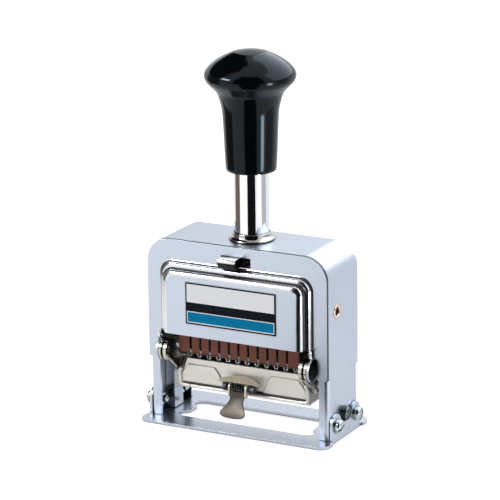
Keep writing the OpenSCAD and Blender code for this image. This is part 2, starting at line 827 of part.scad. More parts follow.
module release_clip() {
    t = wall;
    lip_w = 19.4;
    lip_a = [clip_y, clip_z + 1.8];
    lip_gap = 0.35;
    lip_drop = 4.6;
    lip_b = [lip_y - lip_gap, lip_z - lip_drop];
    lip_l = norm(lip_b - lip_a);
    lip_r = (lip_w * lip_w / 4 + lip_l * lip_l) / (2 * lip_l);
    neck_w = 6;
    neck_a = [clip_y, clip_z - 0.6];
    neck_out = 1.9;
    neck_l = 4.2;
    neck_b = [clip_y - neck_out, clip_z - neck_l];
    neck_top = 2.5;
    ear_w = 2 * clip_ear_x - wall;
    tab_l = norm([tab_y, tab_z] - neck_b);
    fan_r = 6.5;
    fan_z = 3.4;
    fan_w = 11.2;
    lap = 0.3;
    color("#b8a98f") difference() {
        union() {
            // half-moon lip
            on_slope(lip_a, lip_b, t) intersection() {
                translate([0, lip_l - lip_r]) circle(lip_r);
                translate([-lip_r, 0]) square([2 * lip_r, lip_l]);
            }
            // neck
            on_slope(neck_b, neck_a, t) polygon([[-neck_w / 2, -lap], [neck_w / 2, -lap],
                [ear_w / 2, neck_top], [-ear_w / 2, neck_top]]);
            // fan-shaped finger tab
            on_slope([tab_y, tab_z], neck_b, t) {
                polygon([[-neck_w / 2, tab_l + lap], [-fan_w / 2, fan_z],
                    [fan_w / 2, fan_z], [neck_w / 2, tab_l + lap]]);
                intersection() {
                    translate([0, fan_r]) circle(fan_r);
                    translate([-fan_r, 0]) square([2 * fan_r, fan_z]);
                }
            }
            both_sides() along_x(clip_ear_x - wall, clip_ear_x) {
                translate([clip_y, clip_z]) circle(ear_r);
                link([clip_y, clip_z], [clip_y - 1, clip_z - 2.2], 1.2);
            }
        }
        bar_x(-half_w, half_w, clip_y, clip_z, clip_pin_r + run);
    }
}

module clip_spring() {
    turns = 6;
    wire = 0.42;
    len = 2 * (clip_ear_x - wall) - 0.4;
    color("#1f2023") translate([-len / 2, clip_y, clip_z]) rotate([0, 90, 0])
        coil(1.45, wire, len, turns, 16, 6);
}

module clip_pin() {
    color("#8d8a84") {
        bar_x(-bracket_x - wall, bracket_x + wall, clip_y, clip_z, clip_pin_r);
        both_sides() bar_x(bracket_x + wall, bracket_x + wall + 1.1, clip_y, clip_z, 1.6);
    }
}

// ---- catch ----

module lock_catch() {
    slide_t = 0.8;
    margin = 1.2;
    color(bright) {
        translate([catch_x - margin, -face_y + fit, slot_z0 - margin])
            cube([catch_w + 2 * margin, slide_t, slot_h + 2 * margin]);
        translate([catch_x, 0, 0]) along_x(0, catch_w) polygon([
            [-face_y + fit, slot_z0 + fit], [-face_y + fit, slot_z0 + slot_h - fit],
            [cover_y - 1.2, slot_z0 + slot_h - fit], [panel_y - 0.4, slot_z0 + slot_h - 1.6],
            [panel_y - 0.4, slot_z0 + 1.2], [cover_y - 1.2, slot_z0 + fit]]);
    }
}

outer_frame();
front_cover();
rear_cover();
base_plate();
name_plate();
plunger_bush();
bush_nut();
base_screws();
base_washers();
guide_rails();
rail_screws();
side_screws();
pad_pivots();
spring_bar();
lock_catch();
knob();
plunger_tube();
tube_plug();
return_spring();
carriage_yoke();
carriage_sides();
guide_shoes();
wheel_shaft();
shaft_clips();
tie_rods();
detent_springs();
pawl_carrier();
pawl_pin();
feed_pawls();
pad_arms();
pad_frame();
pad_tray();
ink_pad();
release_clip();
clip_spring();
clip_pin();
for (i = [0:wheels - 1]) {
    number_wheel(i);
    ratchet(i);
}
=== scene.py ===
"""Hand numbering machine: the surfaces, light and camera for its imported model.

Lengths are in metres, or in millimetres where a shape is made; front is -Y, up +Z."""

import math

import bmesh
import bpy
from mathutils import Matrix, Vector


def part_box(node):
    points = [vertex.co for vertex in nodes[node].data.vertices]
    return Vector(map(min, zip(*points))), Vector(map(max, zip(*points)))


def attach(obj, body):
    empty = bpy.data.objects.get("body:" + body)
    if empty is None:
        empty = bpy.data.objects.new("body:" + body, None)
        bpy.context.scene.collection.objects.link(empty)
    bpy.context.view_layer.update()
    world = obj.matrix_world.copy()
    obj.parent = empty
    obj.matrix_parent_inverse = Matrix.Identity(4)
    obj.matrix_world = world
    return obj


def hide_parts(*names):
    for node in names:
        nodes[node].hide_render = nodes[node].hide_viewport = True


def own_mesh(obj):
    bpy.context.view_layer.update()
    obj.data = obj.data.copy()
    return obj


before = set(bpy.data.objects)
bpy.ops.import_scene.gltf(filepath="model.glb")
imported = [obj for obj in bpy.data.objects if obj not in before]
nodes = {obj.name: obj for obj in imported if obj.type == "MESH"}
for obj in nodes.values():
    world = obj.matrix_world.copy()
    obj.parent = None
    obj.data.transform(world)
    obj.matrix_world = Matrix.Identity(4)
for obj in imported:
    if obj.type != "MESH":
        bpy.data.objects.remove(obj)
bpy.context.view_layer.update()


# Camera: a long lens on a stand, to the right of the machine's front and a
# little above its case. Its aim is the case's top; it leans by under a degree.
view_azimuth = math.radians(27.732)
view_elevation = math.radians(16.008)
view_lean = math.radians(-0.707)
view_distance = 1.18896
view_aim = Vector((0, 0, 0.080))
view_aside = 0.000819
view_above = 0.008069

toward_camera = Vector((
    math.sin(view_azimuth) * math.cos(view_elevation),
    -math.cos(view_azimuth) * math.cos(view_elevation),
    math.sin(view_elevation)))
level_right = Vector((math.cos(view_azimuth), math.sin(view_azimuth), 0))
level_up = toward_camera.cross(level_right)
camera_right = level_right * math.cos(view_lean) + level_up * math.sin(view_lean)
camera_up = level_up * math.cos(view_lean) - level_right * math.sin(view_lean)
camera_place = (view_aim + toward_camera * view_distance
                - camera_right * view_aside - camera_up * view_above)

camera_data = bpy.data.cameras.new("camera")
camera_data.sensor_width = 36
camera_data.lens = 216
camera_data.clip_end = 20
camera = bpy.data.objects.new("camera", camera_data)
turn = Matrix((camera_right, camera_up, toward_camera)).transposed()
camera.matrix_world = Matrix.Translation(camera_place) @ turn.to_4x4()
bpy.context.scene.collection.objects.link(camera)
bpy.context.scene.camera = camera
bpy.context.scene.view_settings.view_transform = "Standard"


# Studio: white surroundings and floor, which lens and metal see as white, with
# a low level of even light. Every material's nodes are written with Finish.
class Finish:
    """A socket in a material's nodes. Arithmetic on it adds Math nodes."""

    def __init__(self, tree, socket=None):
        self.tree = tree
        self.socket = socket

    def add(self, kind, settings=(), sockets=(), output=0):
        """Adds a node, makes its settings, then fills its sockets by name or place."""
        node = self.tree.nodes.new("ShaderNode" + kind)
        for name, value in dict(settings).items():
            if name == "stops":
                stops = node.color_ramp.elements
                while len(stops) < len(value):
                    stops.new(0.5)
                for stop, (place, colour) in zip(stops, value):
                    stop.position = place
                    stop.color = (*colour, 1)
            elif name == "interpolation":
                node.color_ramp.interpolation = value
            else:
                setattr(node, name, value)
        for name, value in dict(sockets).items():
            if isinstance(value, Finish):
                self.tree.links.new(value.socket, node.inputs[name])
            else:
                node.inputs[name].default_value = value
        return Finish(self.tree, node.outputs[output]) if node.outputs else None

    def math(self, operation, *values):
        return self.add("Math", {"operation": operation}, enumerate(values))

    def __add__(self, other):
        return self.math("ADD", self, other)

    def __sub__(self, other):
        return self.math("SUBTRACT", self, other)

    def __rsub__(self, other):
        return self.math("SUBTRACT", other, self)

    def __mul__(self, other):
        return self.math("MULTIPLY", self, other)

    __rmul__ = __mul__

    def blend(self, low, high):
        """The colour low where this socket is 0, and high where it is 1."""
        return self.add("Mix", {"data_type": "RGBA"},
                        {0: self, 6: (*low, 1), 7: (*high, 1)}, output=2)

    def noise(self, scale, detail, stretch=(1, 1, 1)):
        """Noise on the piece's own coordinates, scale in blobs a metre."""
        place = self.add("TexCoord", output="Object")
        place = self.add("Mapping", {}, {"Vector": place, "Scale": stretch})
        return self.add("TexNoise", {}, {"Vector": place, "Scale": scale, "Detail": detail})


def cleared(block):
    """Empties the nodes of a material or world and returns what adds new ones."""
    block.use_nodes = True
    block.node_tree.nodes.clear()
    return Finish(block.node_tree)


def add_object(name, bm):
    """Turns a shape into an object of the scene."""
    mesh = bpy.data.meshes.new(name)
    bm.to_mesh(mesh)
    bm.free()
    made = bpy.data.objects.new(name, mesh)
    bpy.context.scene.collection.objects.link(made)
    return made


def seen_directly(start):
    """1 for the lens and for what metal and glass show, 0 for diffuse light."""
    seen = start.add("LightPath", output="Is Camera Ray")
    for ray in ("Is Glossy Ray", "Is Transmission Ray"):
        seen = seen.math("MAXIMUM", seen, start.add("LightPath", output=ray))
    return seen


even_light = 0.52
surroundings = bpy.data.worlds.new("white_studio")
sky = cleared(surroundings)
glow = seen_directly(sky) * (1 - even_light) + even_light
sky.add("OutputWorld", {}, {"Surface": sky.add(
    "Background", {}, {"Color": (1, 1, 1, 1), "Strength": glow})})
bpy.context.scene.world = surroundings

floor_reach = 4
floor_drop = 0.0001
floor_lift = 0.34
lens_lift = 0.26
bm = bmesh.new()
bmesh.ops.create_circle(bm, cap_ends=True, radius=floor_reach, segments=64)
bmesh.ops.translate(bm, verts=bm.verts, vec=(0, 0, -floor_drop))
floor = add_object("floor", bm)
floor_paint = bpy.data.materials.new("white_floor")
start = cleared(floor_paint)
matt = start.add("BsdfDiffuse", {}, {"Color": (0.86, 0.86, 0.86, 1)})
lens_sees = start.add("LightPath", output="Is Camera Ray")
lift = start.add("Emission", {}, {
    "Color": (1, 1, 1, 1),
    "Strength": seen_directly(start) * floor_lift + lens_sees * lens_lift})
start.add("OutputMaterial", {}, {"Surface": start.add("AddShader", {}, {0: matt, 1: lift})})
floor.data.materials.append(floor_paint)


# Reflector cards: curved sheets round the machine that only shiny metal and gloss
# see. The dark ones draw the black and brown stripes, the bright ones highlights.
card_reach = 1.2
card_lift = 0.0005


def stand_card(name, first, last, colour, chain):
    """A card from one bearing to another, in degrees to the right of the lens, its
    section a chain of (distance out, height) points in metres."""
    bm = bmesh.new()
    bearing = view_azimuth + math.radians(first)
    out = Vector((math.sin(bearing), -math.cos(bearing), 0))
    corners = [bm.verts.new(out * away + Vector((0, 0, height))) for away, height in chain]
    sides = [bm.edges.new(pair) for pair in zip(corners, corners[1:])]
    bmesh.ops.spin(bm, geom=corners + sides, cent=(0, 0, 0), axis=(0, 0, 1),
                   angle=math.radians(last - first), steps=24)
    paint = bpy.data.materials.new(name)
    start = cleared(paint)
    start.add("OutputMaterial", {}, {"Surface": start.add(
        "Emission", {}, {"Color": (*[c / max(colour) for c in colour], 1),
                         "Strength": max(colour)})})
    card = add_object(name, bm)
    card.data.materials.append(paint)
    card.visible_camera = False
    card.visible_diffuse = False
    card.visible_shadow = False


def swept(height, inner=0.06):
    """The section of a card that lies on the floor and then stands up."""
    return [(inner, card_lift), (card_reach, card_lift), (card_reach, height)]


def overhead(low, high):
    """The section of a card that hangs above, between two elevations in degrees."""
    rises = [math.radians(low + (high - low) * step / 8) for step in range(9)]
    return [(card_reach * math.cos(rise), card_reach * math.sin(rise)) for rise in rises]


stand_card("black_card", -28, 24, (0.006, 0.006, 0.007), swept(0.1))
stand_card("black_wall", -44, 36, (0.006, 0.006, 0.007), overhead(3, 70))
stand_card("brown_card", -132, -82, (0.16, 0.13, 0.11), swept(0.5, inner=0.25))
stand_card("dark_ceiling", -172, -88, (0.012, 0.015, 0.020), overhead(24, 78))
stand_card("strip_light", 43, 56, (14, 15, 16), swept(0.02, inner=0.26))
stand_card("window_card", -83, -57, (28, 28.7, 29.4), overhead(31, 41))
stand_card("grey_card", 68, 106, (0.50, 0.52, 0.54), swept(0.4, inner=0.22))
stand_card("pale_card", 108, 230, (0.90, 0.92, 0.95), swept(0.3))
stand_card("bright_sky", 62, 172, (2.4, 2.6, 2.9), overhead(20, 66))


# Lamps: a soft window high on the left in front and a large soft box behind on
# the right. Shiny metal doesn't see them, it sees the bright cards in their places.
lamp_distance = 1


def hang_lamp(name, bearing, rise, width, height, power):
    """A soft lamp, aimed at the machine from bearing degrees to the right of the
    lens and rise degrees above the machine."""
    angle = view_azimuth + math.radians(bearing)
    away = lamp_distance * math.cos(math.radians(rise))
    place = view_aim + Vector((math.sin(angle) * away, -math.cos(angle) * away,
                               lamp_distance * math.sin(math.radians(rise))))
    data = bpy.data.lights.new(name, "AREA")
    data.shape = "RECTANGLE"
    data.size = width
    data.size_y = height
    data.energy = power
    lamp = bpy.data.objects.new(name, data)
    lamp.visible_glossy = False
    lamp.matrix_world = Matrix.Translation(place) @ (
        place - view_aim).to_track_quat("Z", "Y").to_matrix().to_4x4()
    bpy.context.scene.collection.objects.link(lamp)


hang_lamp("window_lamp", -67, 36, width=0.8, height=0.5, power=4)
hang_lamp("back_lamp", 134, 29, width=0.45, height=0.45, power=2.2)


# Outer frame, rear cover and base plate: sheet steel with satin chrome plating,
# the frame bent into an arch and its legs folded inwards at both edges.
MM = 0.001


def plated(name, colour, gloss, grain=0.002, cloud=0.05, edge=0.15, crease=0.8, metal=1,
           shade_boxes=()):
    """A plated or bare metal. gloss is its roughness, grain the depth of its fine
    pitting in mm, cloud how far handling changes its gloss, edge the radius in mm
    to which its edges are broken, crease how far in mm painted shade reaches out of
    corners, metal how bare it is of the matt film that handling leaves.
    The last argument is a space in mm that is painted dark, a painted shade, as
    (axis, low, high, blur) for each axis, blur the width over which it fades in
    from each limit."""
    material = bpy.data.materials.new(name)
    start = cleared(material)
    haze = start.noise(70, 4)
    pits = start.noise(3500, 2)
    broken_edge = start.add("Bevel", {"samples": 4}, {"Radius": edge * MM})
    relief = start.add("Bump", {}, {
        "Height": pits, "Strength": 1, "Distance": grain * MM, "Normal": broken_edge})
    tint = haze.blend([c * 0.95 for c in colour], [min(1, c * 1.04) for c in colour])
    # painted shade: the colour darkens towards a near-black brown in corners and creases that
    # ambient occlusion finds
    unshaded = start.add("AmbientOcclusion", {"samples": 6}, {"Distance": crease * MM}, output="AO")
    unshaded = unshaded.math("POWER", unshaded, 1.6)
    # more painted shade inside the given boxes
    if shade_boxes:
        place = start.add("TexCoord", output="Object")
        within = 1
        for axis, low, high, blur in shade_boxes:
            along = start.add("SeparateXYZ", {}, {"Vector": place}, output=axis)
            for depth in (along - low * MM, high * MM - along):
                within *= depth.add("Math", {"operation": "MULTIPLY", "use_clamp": True},
                                    {0: depth, 1: 1 / (blur * MM)})
        unshaded = unshaded * (1 - within)
    # mixes in the near-black brown of the painted shade
    tint = start.add("Mix", {"data_type": "RGBA"}, {
        0: unshaded, 6: (0.045, 0.035, 0.028, 1), 7: tint}, output=2)
    shader = start.add("BsdfPrincipled", {}, {
        "Base Color": tint, "Metallic": metal, "Normal": relief,
        "Roughness": (haze - 0.5) * cloud + (pits - 0.5) * cloud + gloss})
    start.add("OutputMaterial", {}, {"Surface": shader})
    return material


def coat_nodes(material, *names):
    """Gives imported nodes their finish."""
    for name in names:
        for place in nodes[name].material_slots:
            place.material = material


satin_chrome = plated("satin_chrome", (0.58, 0.63, 0.73), 0.30, grain=0.004)
coat_nodes(satin_chrome, "rear_cover")

# the arch is painted dark inside its legs, behind the guide rails: painted shade
leg_inside_shade = (("X", -39.4, 39.4, 0.1), ("Y", 2, 12.5, 0.1), ("Z", 0, 64, 0.1))
coat_nodes(plated("arch_chrome", (0.58, 0.63, 0.73), 0.30, grain=0.004, shade_boxes=leg_inside_shade),
           "outer_frame")
coat_nodes(plated("base_chrome", (0.55, 0.60, 0.69), 0.27, grain=0.010, cloud=0.1),
           "base_plate")


# Front cover: the same satin sheet, pressed forward in two polished steps with
# a slot for the catch, and with two ears that carry the pivots of the pad arms.
def box_mm(name):
    """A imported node's lowest and highest corner, in millimetres."""
    return [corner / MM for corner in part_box(name)]


def arch_line(bm, half, foot, top, corner, y):
    """A chain of edges up one side, round two corners and down the other side."""
    others = set(bm.edges)
    ends = [bm.verts.new(p) for p in (
        (-half, y, foot), (-half, y, top), (half, y, top), (half, y, foot))]
    for pair in zip(ends, ends[1:]):
        bm.edges.new(pair)
    bmesh.ops.bevel(bm, geom=ends[1:3], offset=corner, offset_type="OFFSET",
                    affect="VERTICES", segments=12, profile=0.5, material=-1,
                    clamp_overlap=False)
    return [edge for edge in bm.edges if edge not in others]


def split_at(bm, faces, point, normal):
    """Cuts faces along a plane and returns all the faces that they became."""
    geom = set(faces)
    for face in faces:
        geom.update(face.edges, face.verts)
    cut = bmesh.ops.bisect_plane(bm, geom=list(geom), dist=1e-5,
                                 plane_co=point, plane_no=normal)
    return [piece for piece in cut["geom"] if isinstance(piece, bmesh.types.BMFace)]


def open_window(bm, faces, x0, x1, z0, z1):
    """Cuts a rectangular opening into upright faces and returns what is left."""
    for point, normal in (((x0, 0, 0), (1, 0, 0)), ((x1, 0, 0), (1, 0, 0)),
                          ((0, 0, z0), (0, 0, 1)), ((0, 0, z1), (0, 0, 1))):
        faces = split_at(bm, faces, point, normal)
    inside = [face for face in faces
              if x0 < face.calc_center_median().x < x1
              and z0 < face.calc_center_median().z < z1]
    bmesh.ops.delete(bm, geom=inside, context="FACES")
    return [face for face in faces if face.is_valid]


def make_piece(name, bm, material, body, slot, *stands_for, crease=40):
    """Turns a shape in millimetres into a piece that rides on a body."""
    bmesh.ops.scale(bm, vec=(MM, MM, MM), verts=bm.verts)
    piece = add_object(name, bm)
    piece.data.shade_smooth()
    piece.data.set_sharp_from_angle(angle=math.radians(crease))
    piece.data.materials.append(material)
    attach(piece, body)
    if stands_for:
        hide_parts(*stands_for)
    return piece


def thicken(piece, sheet, edge, segments=3):
    """Gives an open sheet its thickness, inwards, and rounds its cut edges."""
    wall = piece.modifiers.new("sheet", "SOLIDIFY")
    wall.thickness = sheet * MM
    wall.offset = -1
    wall.use_even_offset = True
    rounding = piece.modifiers.new("edges", "BEVEL")
    rounding.width = edge * MM
    rounding.segments = segments
    rounding.limit_method = "ANGLE"
    rounding.angle_limit = math.radians(50)
    rounding.profile = 0.5
    rounding.harden_normals = True


seam = 0.15
cover_sheet = 1.2
cover_low, cover_high = box_mm("front_cover")
cover_half = cover_high.x - seam
cover_top = cover_high.z - seam
cover_foot = cover_low.z + 0.6
cover_corner = 9.85
seam_y = box_mm("outer_frame")[0].y
border_y = seam_y - cover_sheet
panel_half = 34.2
panel_foot = 38.6
panel_top = 68.2
panel_corner = 6
polished_width = 5.35
# insets of the pressed edge whose bands are painted near-black: painted shade in its folds
folds = ((0.42, 1.0), (2.7, 3.3))
panel_rise = 4.8
catch_slot = (-6.6, 6.6, 68.45, 72.4)
ear_slot_in = panel_half - 0.01
ear_slot_out = 35.5
ear_slot_foot = 20
ear_slot_top = 34.9
satin_face, polished_face, seam_shade_face, fold_shade_face = range(4)

# how far in from the panel's side each line of the pressed edge runs, and its rise
step_lines = [(0, 0), (0.2, 0.05), (0.75, 0.38), (0.98, 0.8), (1.15, 1.25), (1.4, 1.6),
              (1.8, 1.85), (2.3, 2.0), (2.7, 2.15), (2.95, 2.4), (3.15, 2.95), (3.35, 3.5),
              (3.65, 3.95), (4.1, 4.32), (4.7, 4.6), (5.3, 4.75), (5.9, panel_rise)]


def smooth_line(points, parts):
    """A chain of points along a smooth curve through the given ones."""
    points = [Vector(point) for point in points]
    ends = [2 * points[0] - points[1]] + points + [2 * points[-1] - points[-2]]
    chain = []
    for a, b, c, d in zip(ends, ends[1:], ends[2:], ends[3:]):
        for share in (part / parts for part in range(parts)):
            chain.append(0.5 * (2 * b + (c - a) * share
                                + (2 * a - 5 * b + 4 * c - d) * share ** 2
                                + (3 * b - a - 3 * c + d) * share ** 3))
    return chain + [points[-1]]


bm = bmesh.new()
outline = arch_line(bm, cover_half, cover_foot, cover_top, cover_corner, border_y)
line = arch_line(bm, panel_half, cover_foot, panel_top, panel_corner, border_y)
border = bmesh.ops.bridge_loops(bm, edges=outline + line)["faces"]
panel = []
for inset, rise in smooth_line(step_lines, parts=3)[1:]:
    next_line = arch_line(bm, panel_half - inset, cover_foot, panel_top - inset,
                          panel_corner - 0.5 * inset, border_y - rise)
    band = bmesh.ops.bridge_loops(bm, edges=line + next_line)["faces"]
    if any(low < inset < high for low, high in folds):
        look = fold_shade_face
    else:
        look = polished_face if inset < polished_width else satin_face
    for face in band:
        face.material_index = look
    panel += band
    line = next_line

# the last line is closed along its foot and filled: the panel's flat front
feet = [vert for vert in {v for edge in line for v in edge.verts}
        if sum(edge in line for edge in vert.link_edges) == 1]
line.append(bm.edges.new(feet))
front = bmesh.ops.contextual_create(bm, geom=line)["faces"]
for face in front:
    face.material_index = satin_face
panel += front
panel = split_at(bm, panel, (0, 0, panel_foot), (0, 0, 1))
below = [face for face in panel if face.calc_center_median().z < panel_foot]
bmesh.ops.delete(bm, geom=below, context="FACES")
border = open_window(bm, border, *catch_slot)
for x0, x1 in ((-ear_slot_out, -ear_slot_in), (ear_slot_in, ear_slot_out)):
    border = open_window(bm, border, x0, x1, ear_slot_foot, ear_slot_top)
bmesh.ops.remove_doubles(bm, verts=bm.verts, dist=1e-4)
bmesh.ops.recalc_face_normals(bm, faces=bm.faces)
if sum(face.normal.y * face.calc_area() for face in bm.faces) > 0:
    bmesh.ops.reverse_faces(bm, faces=bm.faces)
cover = make_piece("pressed_cover", bm, satin_chrome, "frame", "satin_chrome", "front_cover")
cover.data.materials.append(plated("polished_steps", (0.76, 0.77, 0.80), 0.17, grain=0.0004))
# near-black for the cut rim of the sheet: the painted shadow of the seam between cover and frame
cover.data.materials.append(plated("seam_shade_edge", (0.10, 0.10, 0.11), 0.3))
# the near-black of the folds, a painted shade
cover.data.materials.append(plated("step_fold_shade", (0.085, 0.077, 0.083), 0.5))
thicken(cover, cover_sheet, edge=0.35)
cover.modifiers["sheet"].material_offset_rim = seam_shade_face

pivot_y = -14.8
pivot_z = 30.3
ear_round = 4.5
ear_sheet = 1
ear_foot = 25.8
ear_top = 36.4


def hulled_plate(bm, x0, x1, rounds, corners=()):
    """A plate square to X whose outline is stretched round circles of (y, z, radius)
    and single corners of (y, z)."""
    rim = []
    for x in (x0, x1):
        for y, z, radius in rounds:
            edge_on = Matrix.Translation((x, y, z)) @ Matrix.Rotation(math.pi / 2, 4, "Y")
            rim += bmesh.ops.create_circle(bm, radius=radius, segments=48,
                                           matrix=edge_on)["verts"]
        rim += [bm.verts.new((x, y, z)) for y, z in corners]
    hull = bmesh.ops.convex_hull(bm, input=rim)
    inner = {part for part in hull["geom_interior"] + hull["geom_unused"]
             if isinstance(part, bmesh.types.BMVert)}
    bmesh.ops.delete(bm, geom=list(inner), context="VERTS")
    bmesh.ops.recalc_face_normals(bm, faces=bm.faces)


bm = bmesh.new()
for ear_x in (panel_half - ear_sheet, -panel_half):
    hulled_plate(bm, ear_x, ear_x + ear_sheet, [(pivot_y, pivot_z, ear_round)],
                 [(seam_y, ear_foot), (seam_y, ear_top), (border_y, ear_top)])
make_piece("cover_ears", bm, satin_chrome, "frame", "satin_chrome")


# Name plate: thin printed foil, white, black and blue-green bands in a black
# border and with no lettering, cemented to the middle of the panel.
border_width = 0.55 * MM
white_line_width = 0.3 * MM


def banded_foil():
    material = bpy.data.materials.new("banded_foil")
    start = cleared(material)
    low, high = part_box("name_plate")
    middle = (low + high) / 2
    place = start.add("Mapping", {}, {
        "Vector": start.add("TexCoord", output="Object"), "Location": -middle})
    across = start.add("SeparateXYZ", {}, {"Vector": place}, output="X")
    height = start.add("SeparateXYZ", {}, {"Vector": place}, output="Z")
    height = height * (1 / (high.z - low.z)) + 0.5
    ink = (0.005, 0.007, 0.012)
    paper = (0.84, 0.85, 0.88)
    blue = (0.0, 0.19, 0.38)
    bands = start.add("ValToRGB", {"interpolation": "CONSTANT", "stops": (
        (0, ink), (0.035, paper), (0.055, blue), (0.29, paper), (0.31, ink),
        (0.53, paper), (0.97, ink))}, {"Fac": height})
    side_bands = start.add("ValToRGB", {"interpolation": "CONSTANT", "stops": (
        (0, ink), (0.035, paper), (0.31, ink), (0.53, paper), (0.97, ink))}, {"Fac": height})
    half = (high.x - low.x) / 2
    aside = across.math("ABSOLUTE", across)
    rim = aside.math("GREATER_THAN", aside, half - border_width - white_line_width)
    colour = start.add("Mix", {"data_type": "RGBA"},
                       {0: rim, 6: bands, 7: side_bands}, output=2)
    margin = aside.math("GREATER_THAN", aside, half - border_width)
    colour = start.add("Mix", {"data_type": "RGBA"},
                       {0: margin, 6: colour, 7: (*ink, 1)}, output=2)
    wear = start.noise(900, 3)
    shader = start.add("BsdfPrincipled", {}, {
        "Base Color": colour, "Roughness": wear * 0.12 + 0.28, "Specular IOR Level": 0.06})
    start.add("OutputMaterial", {}, {"Surface": shader})
    return material


coat_nodes(banded_foil(), "name_plate")


# Bush, plunger tube, guide rails and catch: turned and drawn steel in bright
# chrome. The bush is screwed into the case's top and the tube slides in it.
bright_chrome = plated("bright_chrome", (0.88, 0.89, 0.91), 0.07, grain=0.0004, cloud=0.04,
                       edge=0.1)
coat_nodes(bright_chrome, "plunger_tube")
collar_chrome = plated("collar_chrome", (0.52, 0.50, 0.48), 0.10, grain=0.0006, cloud=0.05)
# the guide rails take a dark copy of the chrome: painted shade for where they stand inside the
# legs
rail_shade_chrome = plated("rail_shade_chrome", (0.36, 0.37, 0.37), 0.14, grain=0.002, cloud=0.08)
coat_nodes(rail_shade_chrome, "guide_rails")


def turned(bm, profile, steps=96):
    """Spins a chain of (radius, height) points once round the Z axis."""
    chain = [bm.verts.new((radius, 0, height)) for radius, height in profile]
    edges = [bm.edges.new(pair) for pair in zip(chain, chain[1:])]
    bmesh.ops.spin(bm, geom=chain + edges, cent=(0, 0, 0), axis=(0, 0, 1),
                   angle=2 * math.pi, steps=steps, use_merge=True)
    bmesh.ops.remove_doubles(bm, verts=bm.verts, dist=1e-4)
    bmesh.ops.recalc_face_normals(bm, faces=bm.faces)


def round_edges(bm, edges, radius, segments=2):
    """Rounds edges of a shape."""
    bmesh.ops.bevel(bm, geom=list(edges), offset=radius, offset_type="OFFSET",
                    affect="EDGES", segments=segments, profile=0.5, material=-1)


def add_shape(bm, shape, place):
    """Moves a finished shape to its place in another one."""
    bmesh.ops.transform(shape, matrix=place, verts=shape.verts)
    mesh = bpy.data.meshes.new("shape")
    shape.to_mesh(mesh)
    shape.free()
    bm.from_mesh(mesh)
    bpy.data.meshes.remove(mesh)


bush_low, bush_high = box_mm("plunger_bush")
bush_rim = bush_high.x
bush_bore = 7.1
bush_body = 8.5
case_top = box_mm("outer_frame")[1].z
flare = [(bush_bore, bush_high.z - 0.2), (bush_bore + 0.15, bush_high.z),
         (bush_bore + 0.45, bush_high.z - 0.2), (bush_bore + 0.65, case_top + 2.1),
         (bush_bore + 1.05, case_top + 1.4), (bush_rim - 0.45, case_top + 1.05),
         (bush_rim - 0.1, case_top + 0.85), (bush_rim, case_top + 0.55),
         (bush_rim - 0.1, case_top + 0.25), (bush_rim - 0.4, case_top + 0.05)]
bm = bmesh.new()
turned(bm, smooth_line(flare, parts=4) + [
    Vector(point) for point in ((bush_body, case_top), (bush_body, bush_low.z),
                                (bush_bore, bush_low.z), flare[0])])
make_piece("flared_bush", bm, collar_chrome, "frame", "bright_chrome", "plunger_bush",
           crease=50)


def rounded_bar(x0, x1, outline, radius):
    """A bar along X with a convex outline of (y, z) points and rounded edges."""
    bar = bmesh.new()
    bmesh.ops.convex_hull(bar, input=[
        bar.verts.new((x, y, z)) for x in (x0, x1) for y, z in outline])
    bmesh.ops.dissolve_limit(bar, angle_limit=0.02, verts=bar.verts, edges=bar.edges)
    round_edges(bar, bar.edges, radius, segments=3)
    return bar


# the catch: a slide behind the cover and a bright tab; the slide and the tab's underside are
# painted near-black, painted shade in the slot and under the tab
catch_low, catch_high = box_mm("lock_catch")
slide_front = catch_high.y - 0.8
tab_inset = 1.2
tab_root = slide_front + 0.3
tab_top = catch_high.z - 1.3
tab_nose = tab_top - 1.35
bright_face, shaded_face = range(2)
slide = rounded_bar(catch_low.x, catch_high.x, (
    (slide_front, catch_low.z), (slide_front, catch_high.z),
    (catch_high.y, catch_low.z), (catch_high.y, catch_high.z)), radius=0.15)
for face in slide.faces:
    face.material_index = shaded_face
tab = rounded_bar(catch_low.x + tab_inset, catch_high.x - tab_inset, (
    (tab_root, tab_top), (catch_low.y + 0.5, tab_top), (catch_low.y, tab_top - 0.5),
    (catch_low.y, tab_top - 1.3), (catch_low.y + 0.9, catch_low.z + 1.1),
    (tab_root, catch_low.z + 1.35)), radius=0.3)
for face in tab.faces:
    under = face.calc_center_median().z < tab_nose
    face.material_index = shaded_face if under else bright_face
bm = bmesh.new()
add_shape(bm, slide, Matrix())
add_shape(bm, tab, Matrix())
catch_chrome = plated("catch_chrome", (0.80, 0.79, 0.78), 0.08, grain=0.002, crease=2.5)
catch = make_piece("rounded_catch", bm, catch_chrome, "catch", "bright_chrome", "lock_catch",
                   crease=50)
# near-black for the slide and the tab's underside: painted shade
catch.data.materials.append(plated("slot_shade_steel", (0.03, 0.03, 0.033), 0.3))


# Knob: one solid turning of black thermoset plastic, buffed to a high gloss
# and pressed onto the tube.
def glossy_black():
    material = bpy.data.materials.new("glossy_black")
    start = cleared(material)
    ripple = start.noise(55, 2)
    scuff = start.noise(1200, 3)
    relief = start.add("Bump", {}, {
        "Height": ripple, "Strength": 0.35, "Distance": 0.05 * MM})
    shader = start.add("BsdfPrincipled", {}, {
        "Base Color": scuff.blend((0.0010, 0.0014, 0.0020), (0.0022, 0.0028, 0.0036)),
        "Roughness": scuff * 0.04 + 0.10, "Specular IOR Level": 0.26,
        "Specular Tint": (0.70, 0.86, 1.0, 1), "Normal": relief})
    start.add("OutputMaterial", {}, {"Surface": shader})
    return material


